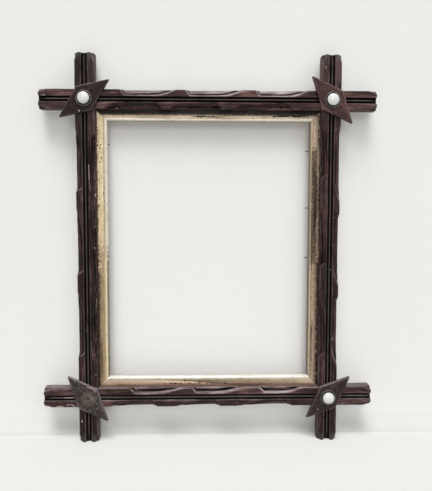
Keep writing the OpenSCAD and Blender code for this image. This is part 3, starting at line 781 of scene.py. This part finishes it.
# Gilt slip
# Worm holes and lost chips of its face are (x, z, radius, depth) in millimetres.
SLIP_HOLES = {
    "left": [(-133.3, 126.3, 1.1, 2.2), (-131.1, 123.5, 0.95, 2.0), (-129.9, 127.5, 0.95, 2.0),
             (-129.0, 111.6, 1.0, 2.2), (-130.9, 106.8, 1.05, 2.0), (-132.2, 144.0, 0.7, 1.2),
             (-131.6, 62.0, 0.85, 1.6), (-132.6, 54.6, 0.95, 1.6), (-132.6, 36.2, 0.7, 1.2),
             (-132.6, -7.9, 0.85, 1.6)],
    "right": [(129.1, 21.5, 0.8, 1.6)],
    "top": [(-13.5, 158.8, 1.4, 1.6), (-15.5, 161.9, 0.8, 1.0), (-9.5, 162.1, 0.7, 1.0)],
    "bottom": [(-22.0, -162.5, 0.7, 1.2), (-12.0, -163.9, 0.8, 1.2)],
}
# Dark lines in the quirks and along some sight edges: wear and dirt with painted shade
# White bands on the top and left slips' beads and sight edges: painted highlight
GILDING = {
    "left": worn_gilding(
        "worn_gilding_left", True, [
            (0.2, (1.0, 0.92, 0.77)), (1.0, (1.0, 0.95, 0.81)), (1.9, (0.98, 0.87, 0.71)),
            (2.9, (0.70, 0.60, 0.46)), (3.9, (0.46, 0.37, 0.25)), (5.0, (0.74, 0.61, 0.42)),
            (6.5, (0.88, 0.73, 0.48)), (8.5, (0.82, 0.66, 0.41)), (10.4, (0.82, 0.65, 0.45)),
            (11.3, (0.76, 0.59, 0.40)), (12.1, (0.12, 0.07, 0.045))],
        [
            (0.2, (0.24, 0.18, 0.13)), (0.9, (0.36, 0.29, 0.21)), (2.0, (0.66, 0.54, 0.38)),
            (3.0, (1.0, 0.89, 0.64)), (4.2, (0.66, 0.54, 0.36)), (5.6, (0.44, 0.33, 0.19)),
            (7.5, (0.40, 0.29, 0.175)), (9.0, (0.41, 0.295, 0.19)), (10.2, (0.29, 0.205, 0.145)),
            (11.2, (0.13, 0.085, 0.055)), (12.4, (0.04, 0.025, 0.015))],
        [(50, -58)], areas=[
            (-127.5, 84.0, -125.5, 56.0, "chipped", 0.9),
            (-134.5, 140.0, -131.5, -140.0, "chipped", 0.66),
            (-132.5, -112.0, -130.0, -154.0, "stained", 0.9)]),
    # Its outermost bands, by the stile, are dark: dirt, and painted shadow of the stile's lip
    "right": worn_gilding(
        "worn_gilding_right", True, [
            (0.4, (0.23, 0.18, 0.13)), (1.4, (0.38, 0.30, 0.22)), (2.6, (0.43, 0.33, 0.24)),
            (3.6, (0.13, 0.085, 0.055)), (5.1, (0.11, 0.075, 0.052)), (6.4, (0.19, 0.13, 0.09)),
            (7.8, (0.13, 0.088, 0.060)), (9.2, (0.15, 0.105, 0.07)), (10.4, (0.30, 0.235, 0.185)),
            (11.7, (0.27, 0.21, 0.165)), (12.6, (0.05, 0.03, 0.02))],
        [
            (0.4, (0.20, 0.16, 0.12)), (1.4, (0.34, 0.28, 0.21)), (3.1, (0.66, 0.55, 0.40)),
            (4.3, (0.34, 0.25, 0.175)), (5.7, (0.50, 0.385, 0.275)), (7.6, (0.42, 0.31, 0.23)),
            (9.0, (0.33, 0.24, 0.175)), (10.2, (0.19, 0.13, 0.09)),
            (11.2, (0.045, 0.027, 0.02)), (13.0, (0.03, 0.015, 0.012))],
        [(-8, -30), (118, 130)], flecked=2.8, areas=[
            (127.0, 122.0, 133.5, -20.0, "chipped", 0.80),
            (126.3, -90.0, 128.0, -108.0, "chipped", 1.15),
            (127.2, 22.5, 128.6, 20.5, "stained", 1.0),
            (129.2, 12.7, 130.6, 10.7, "stained", 1.0),
            (126.5, -95.0, 128.5, -140.0, "stained", 0.8)]),
    # Its bands darken to black towards the rail: dirt, and painted shadow of the rail's lip
    "top": worn_gilding(
        "worn_gilding_top", False, [
            (0.2, (0.34, 0.27, 0.19)), (0.9, (0.90, 0.80, 0.64)), (2.0, (1.0, 0.95, 0.82)),
            (3.2, (1.0, 0.91, 0.74)), (4.2, (0.80, 0.70, 0.54)), (5.4, (0.74, 0.63, 0.48)),
            (6.6, (0.52, 0.44, 0.33)), (7.6, (0.19, 0.145, 0.10)), (8.8, (0.045, 0.03, 0.02)),
            (10.0, (0.010, 0.007, 0.005))],
        areas=[
            (-19.0, 162.4, 14.0, 160.2, "chipped", 1.35),
            # Black flecks the length of the slip under the rail: dirt, and painted shadow of the
            # rail
            (-122.0, 168.5, 122.0, 164.5, "chipped", 0.95),
            (76.0, 164.0, 122.0, 161.0, "chipped", 1.35),
            (-84.0, 161.5, -60.0, 159.5, "stained", 0.6)]),
    "bottom": worn_gilding(
        "worn_gilding_bottom", False, [
            (0.2, (0.88, 0.85, 0.78)), (1.5, (0.90, 0.87, 0.79)), (3.0, (0.90, 0.86, 0.77)),
            (4.0, (0.84, 0.77, 0.66)), (4.8, (0.56, 0.47, 0.37)), (7.0, (0.56, 0.44, 0.32)),
            (8.9, (0.50, 0.365, 0.25)), (9.8, (0.44, 0.305, 0.22)), (10.8, (0.26, 0.165, 0.125)),
            (12.0, (0.21, 0.13, 0.10))],
        areas=[
            (-58.0, -166.2, 24.0, -164.4, "chipped", 1.05),
            (-30.0, -161.9, 12.0, -160.9, "chipped", 1.05),
            (60.0, -167.5, 110.0, -161.5, "stained", 0.45)]),
}
for side, gilding in GILDING.items():
    slip = stock("slip_" + side, "gilt_slip_" + side)
    work(slip, "BEVEL", width=0.18 * MM, segments=2, limit_method="ANGLE",
         angle_limit=math.radians(40))
    bore(slip, SLIP_HOLES[side])
    shade(slip, degrees=30)
    install(slip, gilding, "slip_" + side)

# Porcelain buttons on their collars
# A profile lists (radius, height above the plate) in millimetres. The plate at the
# bottom left has lost its button.
BUTTON_PROFILE = [
    (3.2, 0.5), (3.2, 1.8), (5.6, 1.82), (6.3, 1.98), (6.75, 2.35), (6.97, 2.9), (7.0, 3.4),
    (6.95, 3.9), (6.75, 4.35), (6.4, 4.68), (5.8, 5.02), (5.0, 5.42), (4.1, 5.76),
    (3.1, 6.04), (2.1, 6.24), (1.1, 6.36), (0.35, 6.4),
]
COLLAR_PROFILE = [
    (9.42, 0.02), (9.5, 0.35), (9.48, 0.85), (9.38, 1.15), (9.18, 1.34), (8.95, 1.4),
    (8.72, 1.34), (8.52, 1.15), (8.42, 0.85), (8.3, 0.62), (7.9, 0.52), (3.4, 0.5),
]
GLAZE = porcelain("old_porcelain")
TIN = collar_metal("dull_tin")
for corner in ("top_left", "top_right", "bottom_right"):
    collar = turned("tin_collar_" + corner, CORNERS[corner], COLLAR_PROFILE)
    install(collar, TIN, "button_collar_" + corner)
    button = turned("porcelain_button_" + corner, CORNERS[corner], BUTTON_PROFILE)
    install(button, GLAZE, "button_" + corner)

# Fixings and hanger keep their CAD shapes
IRON = old_iron("old_iron")
BRASS = old_brass("old_brass")
for name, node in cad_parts.items():
    if node.hide_render:
        continue
    metal = BRASS if name.startswith("hanger") else IRON
    if not node.material_slots:
        node.data.materials.append(metal)
    for slot in node.material_slots:
        slot.material = metal

# Stage
# A sheet of paper lies on the floor and sweeps up the wall behind the frame. The frame
# leans back on it, so in the frame's own axes the wall leans forward.
WALL_SLOPE = 0.02
LEAN = math.atan(WALL_SLOPE)
FRAME_TOP_Z = 234.5 * MM
WALL_Y_AT_TOP = 9 * MM
WALL_FOOT_Y = WALL_Y_AT_TOP + WALL_SLOPE * (FRAME_TOP_Z - FLOOR_Z)
CURVE_RADIUS = 18 * MM
CURVE_TURN = math.pi / 2 + LEAN
CURVE_STEPS = 12
CURVE_START_Y = WALL_FOOT_Y - CURVE_RADIUS * math.tan(CURVE_TURN / 2)
PAPER_WIDTH = 3.6
PAPER_FRONT_Y = -3.1
WALL_HEIGHT = 1.5
BACK_FLOOR_SIZE = 4
BACK_FLOOR_DROP = 0.5 * MM


def extrude_back(y, z):
    """Draws the paper's back edge out by y and z."""
    bpy.ops.mesh.extrude_region_move(TRANSFORM_OT_translate={"value": (0, y, z)})


sweep = added(bpy.ops.mesh.primitive_plane_add, "paper_sweep", size=1)
edit(sweep, "SELECT")
bpy.ops.transform.resize(value=(PAPER_WIDTH, CURVE_START_Y - PAPER_FRONT_Y, 1),
                         center_override=(0, 0, 0))
bpy.ops.transform.translate(value=(0, (CURVE_START_Y + PAPER_FRONT_Y) / 2, FLOOR_Z))
bpy.ops.mesh.select_all(action="DESELECT")
leave()
for vertex in sweep.data.vertices:
    vertex.select = vertex.co.y > CURVE_START_Y - 1 * MM
bpy.ops.object.mode_set(mode="EDIT")
here = (0, 0)
for step in range(1, CURVE_STEPS + 1):
    angle = CURVE_TURN * step / CURVE_STEPS
    there = (CURVE_RADIUS * math.sin(angle), CURVE_RADIUS * (1 - math.cos(angle)))
    extrude_back(there[0] - here[0], there[1] - here[1])
    here = there
extrude_back(-WALL_HEIGHT * math.sin(LEAN), WALL_HEIGHT * math.cos(LEAN))
leave()
shade(sweep)
sweep.data.materials.append(pale_paper("pale_wall", see_through=True))
sweep.visible_diffuse = False
sweep.visible_shadow = False
# The floor goes on behind the wall, for the views from behind
back_floor = added(
    bpy.ops.mesh.primitive_plane_add, "floor_behind", size=BACK_FLOOR_SIZE,
    location=(0, CURVE_START_Y + BACK_FLOOR_SIZE / 2, FLOOR_Z - BACK_FLOOR_DROP))
back_floor.data.materials.append(pale_paper("pale_floor", see_through=False))

# Broad light from above and in front, a little from the right and off the floor
# Each lamp has its degrees to the right, degrees up, energy and degrees across.
LIGHTS = {
    "skylight": (-12, 63, 1.46, 24),
    "ceiling_light": (6, 50, 0.85, 24),
    "room_light": (-2, 16, 0.60, 28),
    "window_light": (40, 25, 0.28, 34),
    "floor_bounce": (0, -35, 0.44, 60),
}
for name, (azimuth, elevation, energy, width) in LIGHTS.items():
    azimuth, elevation = math.radians(azimuth), math.radians(elevation)
    to_light = Vector((math.sin(azimuth) * math.cos(elevation),
                       -math.cos(azimuth) * math.cos(elevation), math.sin(elevation)))
    bpy.ops.object.select_all(action="DESELECT")
    bpy.ops.object.light_add(type="SUN", location=to_light)
    lamp = bpy.context.object
    lamp.name = name
    lamp.rotation_euler = to_light.to_track_quat("Z", "Y").to_euler()
    lamp.data.energy = energy
    lamp.data.angle = math.radians(width)
    lamp.data.color = (1.0, 0.995, 0.985)

world = bpy.data.worlds.new("room")
bpy.context.scene.world = world
world.use_nodes = True
fill = world.node_tree.nodes["Background"]
fill.inputs["Color"].default_value = (0.985, 0.99, 1.0, 1)
fill.inputs["Strength"].default_value = 0.23

# Camera at the photograph's viewpoint
# Its focal length is in pixels of a picture of 432 by 491, and its angles in degrees.
PICTURE_HEIGHT = 491
FOCAL_LENGTH = 600
SENSOR = 36
CAMERA_PLACE = (-0.0136, -0.7409, 0.0601)
CAMERA_PAN, CAMERA_TILT, CAMERA_ROLL = -1.77, -4.22, -0.12
camera_data = bpy.data.cameras.new("camera")
camera_data.sensor_width = SENSOR
camera_data.lens = FOCAL_LENGTH / PICTURE_HEIGHT * SENSOR
camera_data.clip_start = 0.05
camera_data.clip_end = 20
camera = bpy.data.objects.new("camera", camera_data)
bpy.context.scene.collection.objects.link(camera)
aim = Matrix.Identity(4)
for degrees, axis in ((CAMERA_PAN, "Z"), (CAMERA_TILT, "X"), (CAMERA_ROLL, "Y"), (90, "X")):
    aim = aim @ Matrix.Rotation(math.radians(degrees), 4, axis)
camera.matrix_world = Matrix.Translation(CAMERA_PLACE) @ aim
bpy.context.scene.camera = camera
bpy.context.scene.view_settings.view_transform = "Standard"
